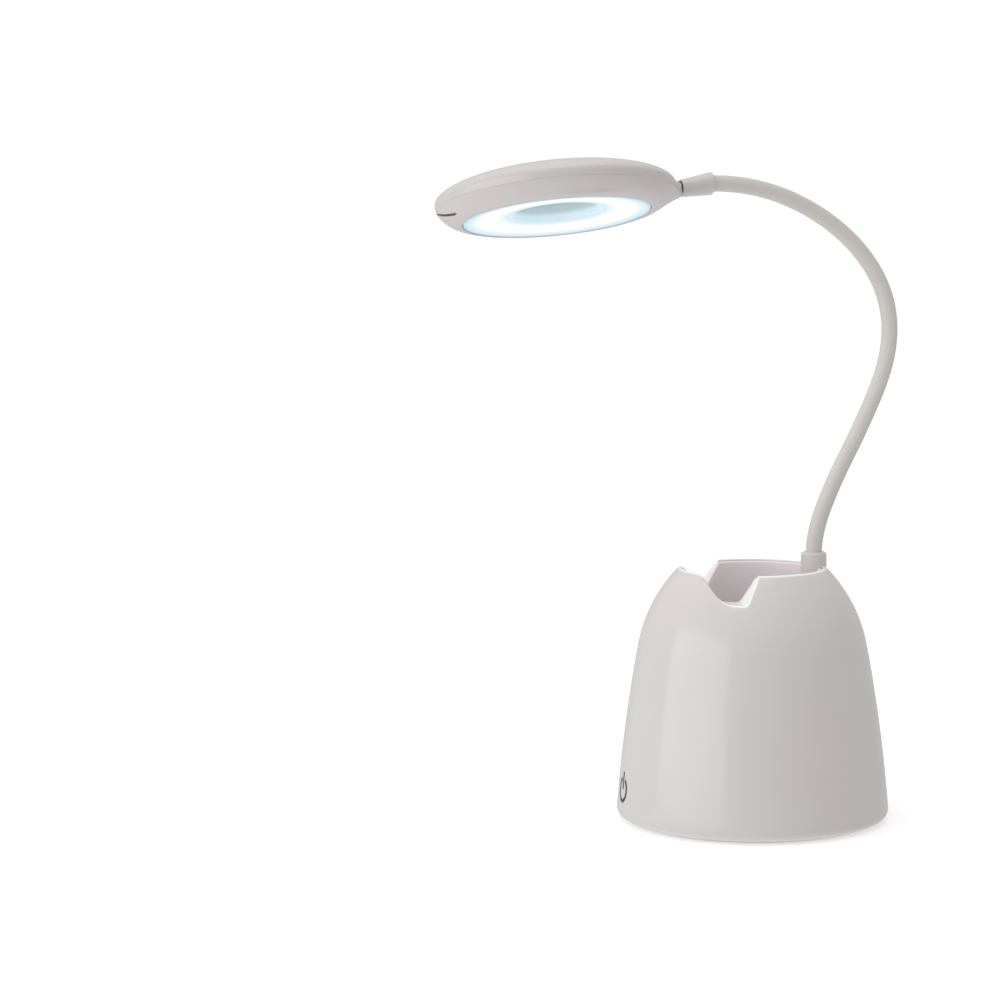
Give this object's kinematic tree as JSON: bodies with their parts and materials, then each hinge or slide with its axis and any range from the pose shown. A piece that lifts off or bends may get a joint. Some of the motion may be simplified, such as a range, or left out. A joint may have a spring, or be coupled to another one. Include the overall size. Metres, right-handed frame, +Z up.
{
  "type": "desk lamp",
  "caption": "Desk lamp with a bell-shaped pen pot as its base, a bendable gooseneck arm and a flat round LED head with an open middle.",
  "frame": {"origin": "middle of the base, on the underside of its rubber pad", "axes": "+Z up, -Y towards the front with the touch mark, +X towards the right side seen from the front, the arm stands at the back (+Y)"},
  "size_m": [0.1124, 0.1928, 0.266],
  "materials": {
    "white_shell": "gloss",
    "pot_liner": "satin",
    "cover_plastic": "matte",
    "rubber": "matte",
    "steel": "satin",
    "iron": "matte",
    "tray_plastic": "matte",
    "cell": "satin",
    "circuit_green": "matte",
    "indicator": "gloss",
    "mark_black": "matte",
    "copper": "satin",
    "brass": "satin",
    "wire": "matte",
    "sleeve": "matte",
    "lens": "milky",
    "ring": "gloss",
    "guide": "clear",
    "sheet_white": "matte",
    "board_white": "matte",
    "led": "matte"
  },
  "bodies": {
    "base": {"outer_shell": "white_shell", "pen_cup": "pot_liner", "base_cover": "cover_plastic", "rubber_pad": "rubber", "cover_screws": "steel", "ballast_plate": "iron", "battery_tray": "tray_plastic", "battery": "cell", "control_board": "circuit_green", "charging_socket": "steel", "charge_indicator": "indicator", "power_mark": "mark_black", "touch_electrode": "copper", "touch_contact": "copper", "root_ferrule": "brass", "root_nut": "brass", "base_leads": "wire", "gooseneck_root": "sleeve", "core_root": "steel"},
    "link_01": {"gooseneck_link_01": "sleeve", "core_link_01": "steel"},
    "link_02": {"gooseneck_link_02": "sleeve", "core_link_02": "steel"},
    "link_03": {"gooseneck_link_03": "sleeve", "core_link_03": "steel"},
    "link_04": {"gooseneck_link_04": "sleeve", "core_link_04": "steel"},
    "link_05": {"gooseneck_link_05": "sleeve", "core_link_05": "steel"},
    "link_06": {"gooseneck_link_06": "sleeve", "core_link_06": "steel"},
    "link_07": {"gooseneck_link_07": "sleeve", "core_link_07": "steel"},
    "link_08": {"gooseneck_link_08": "sleeve", "core_link_08": "steel"},
    "link_09": {"gooseneck_link_09": "sleeve", "core_link_09": "steel"},
    "link_10": {"gooseneck_link_10": "sleeve", "core_link_10": "steel"},
    "link_11": {"gooseneck_link_11": "sleeve", "core_link_11": "steel"},
    "link_12": {"gooseneck_link_12": "sleeve", "core_link_12": "steel"},
    "link_13": {"gooseneck_link_13": "sleeve", "core_link_13": "steel"},
    "head": {"gooseneck_tip": "sleeve", "core_tip": "steel", "front_housing": "white_shell", "back_cover": "white_shell", "inner_ring": "ring", "diffuser": "lens", "light_guide": "guide", "reflector": "sheet_white", "led_board": "board_white", "leds": "led", "head_screws": "steel", "head_ferrule": "brass", "head_leads": "wire"}
  },
  "joints": [
    {"name": "lower_bend", "type": "hinge", "parent": "base", "child": "link_01", "pos_m": [0, 0.0268, 0.1148], "axis": [-1, 0, 0], "range_deg": [-6.5, 8.5]},
    {"name": "lower_sway", "type": "hinge", "parent": "link_01", "child": "link_02", "pos_m": [0, 0.03146, 0.12873], "axis": [0, 0.91, -0.4147], "range_deg": [-10, 18]},
    {"name": "lower_bend_2", "type": "hinge", "parent": "link_02", "child": "link_03", "pos_m": [-0.00169, 0.0381, 0.14175], "axis": [-0.9934, -0.0477, -0.1046], "range_deg": [-6.5, 8.5]},
    {"name": "lower_sway_2", "type": "hinge", "parent": "link_03", "child": "link_04", "pos_m": [-0.00337, 0.04536, 0.15443], "axis": [0.011, 0.8663, -0.4994], "range_deg": [-10, 18]},
    {"name": "lower_bend_3", "type": "hinge", "parent": "link_04", "child": "link_05", "pos_m": [-0.00673, 0.05249, 0.16686], "axis": [-0.9736, -0.1045, -0.2027], "range_deg": [-6.5, 8.5]},
    {"name": "lower_bend_4", "type": "hinge", "parent": "link_05", "child": "link_06", "pos_m": [-0.01008, 0.05883, 0.1797], "axis": [-0.9736, -0.1045, -0.2027], "range_deg": [-6.5, 8.5]},
    {"name": "middle_bend", "type": "hinge", "parent": "link_06", "child": "link_07", "pos_m": [-0.01336, 0.06271, 0.19347], "axis": [0.9736, 0.1045, 0.2027], "range_deg": [-12, 14]},
    {"name": "middle_bend_2", "type": "hinge", "parent": "link_07", "child": "link_08", "pos_m": [-0.01631, 0.06237, 0.20781], "axis": [0.9736, 0.1045, 0.2027], "range_deg": [-12, 14]},
    {"name": "middle_bend_3", "type": "hinge", "parent": "link_08", "child": "link_09", "pos_m": [-0.01857, 0.05719, 0.22132], "axis": [0.9736, 0.1045, 0.2027], "range_deg": [-12, 14]},
    {"name": "upper_sway", "type": "hinge", "parent": "link_09", "child": "link_10", "pos_m": [-0.02001, 0.04824, 0.23286], "axis": [-0.2166, 0.7022, 0.6782], "range_deg": [-16, 16]},
    {"name": "upper_bend", "type": "hinge", "parent": "link_10", "child": "link_11", "pos_m": [-0.02074, 0.03691, 0.24218], "axis": [-0.9736, -0.1045, -0.2027], "range_deg": [-21, 12]},
    {"name": "upper_sway_2", "type": "hinge", "parent": "link_11", "child": "link_12", "pos_m": [-0.02084, 0.02406, 0.2493], "axis": [-0.2277, 0.3953, 0.8899], "range_deg": [-16, 16]},
    {"name": "upper_bend_2", "type": "hinge", "parent": "link_12", "child": "link_13", "pos_m": [-0.02035, 0.01017, 0.25409], "axis": [-0.9736, -0.1045, -0.2027], "range_deg": [-21, 12]},
    {"name": "upper_bend_3", "type": "hinge", "parent": "link_13", "child": "head", "pos_m": [-0.01926, -0.00431, 0.25632], "axis": [-0.9736, -0.1045, -0.2027], "range_deg": [-21, 12]}
  ],
  "couplings": [
    {"joint": "lower_bend_2", "follows": "lower_bend", "ratio": 1},
    {"joint": "lower_bend_3", "follows": "lower_bend", "ratio": 1},
    {"joint": "lower_bend_4", "follows": "lower_bend", "ratio": 1},
    {"joint": "lower_sway_2", "follows": "lower_sway", "ratio": 1},
    {"joint": "middle_bend_2", "follows": "middle_bend", "ratio": 1},
    {"joint": "middle_bend_3", "follows": "middle_bend", "ratio": 1},
    {"joint": "upper_bend_2", "follows": "upper_bend", "ratio": 1},
    {"joint": "upper_bend_3", "follows": "upper_bend", "ratio": 1},
    {"joint": "upper_sway_2", "follows": "upper_sway", "ratio": 1}
  ]
}
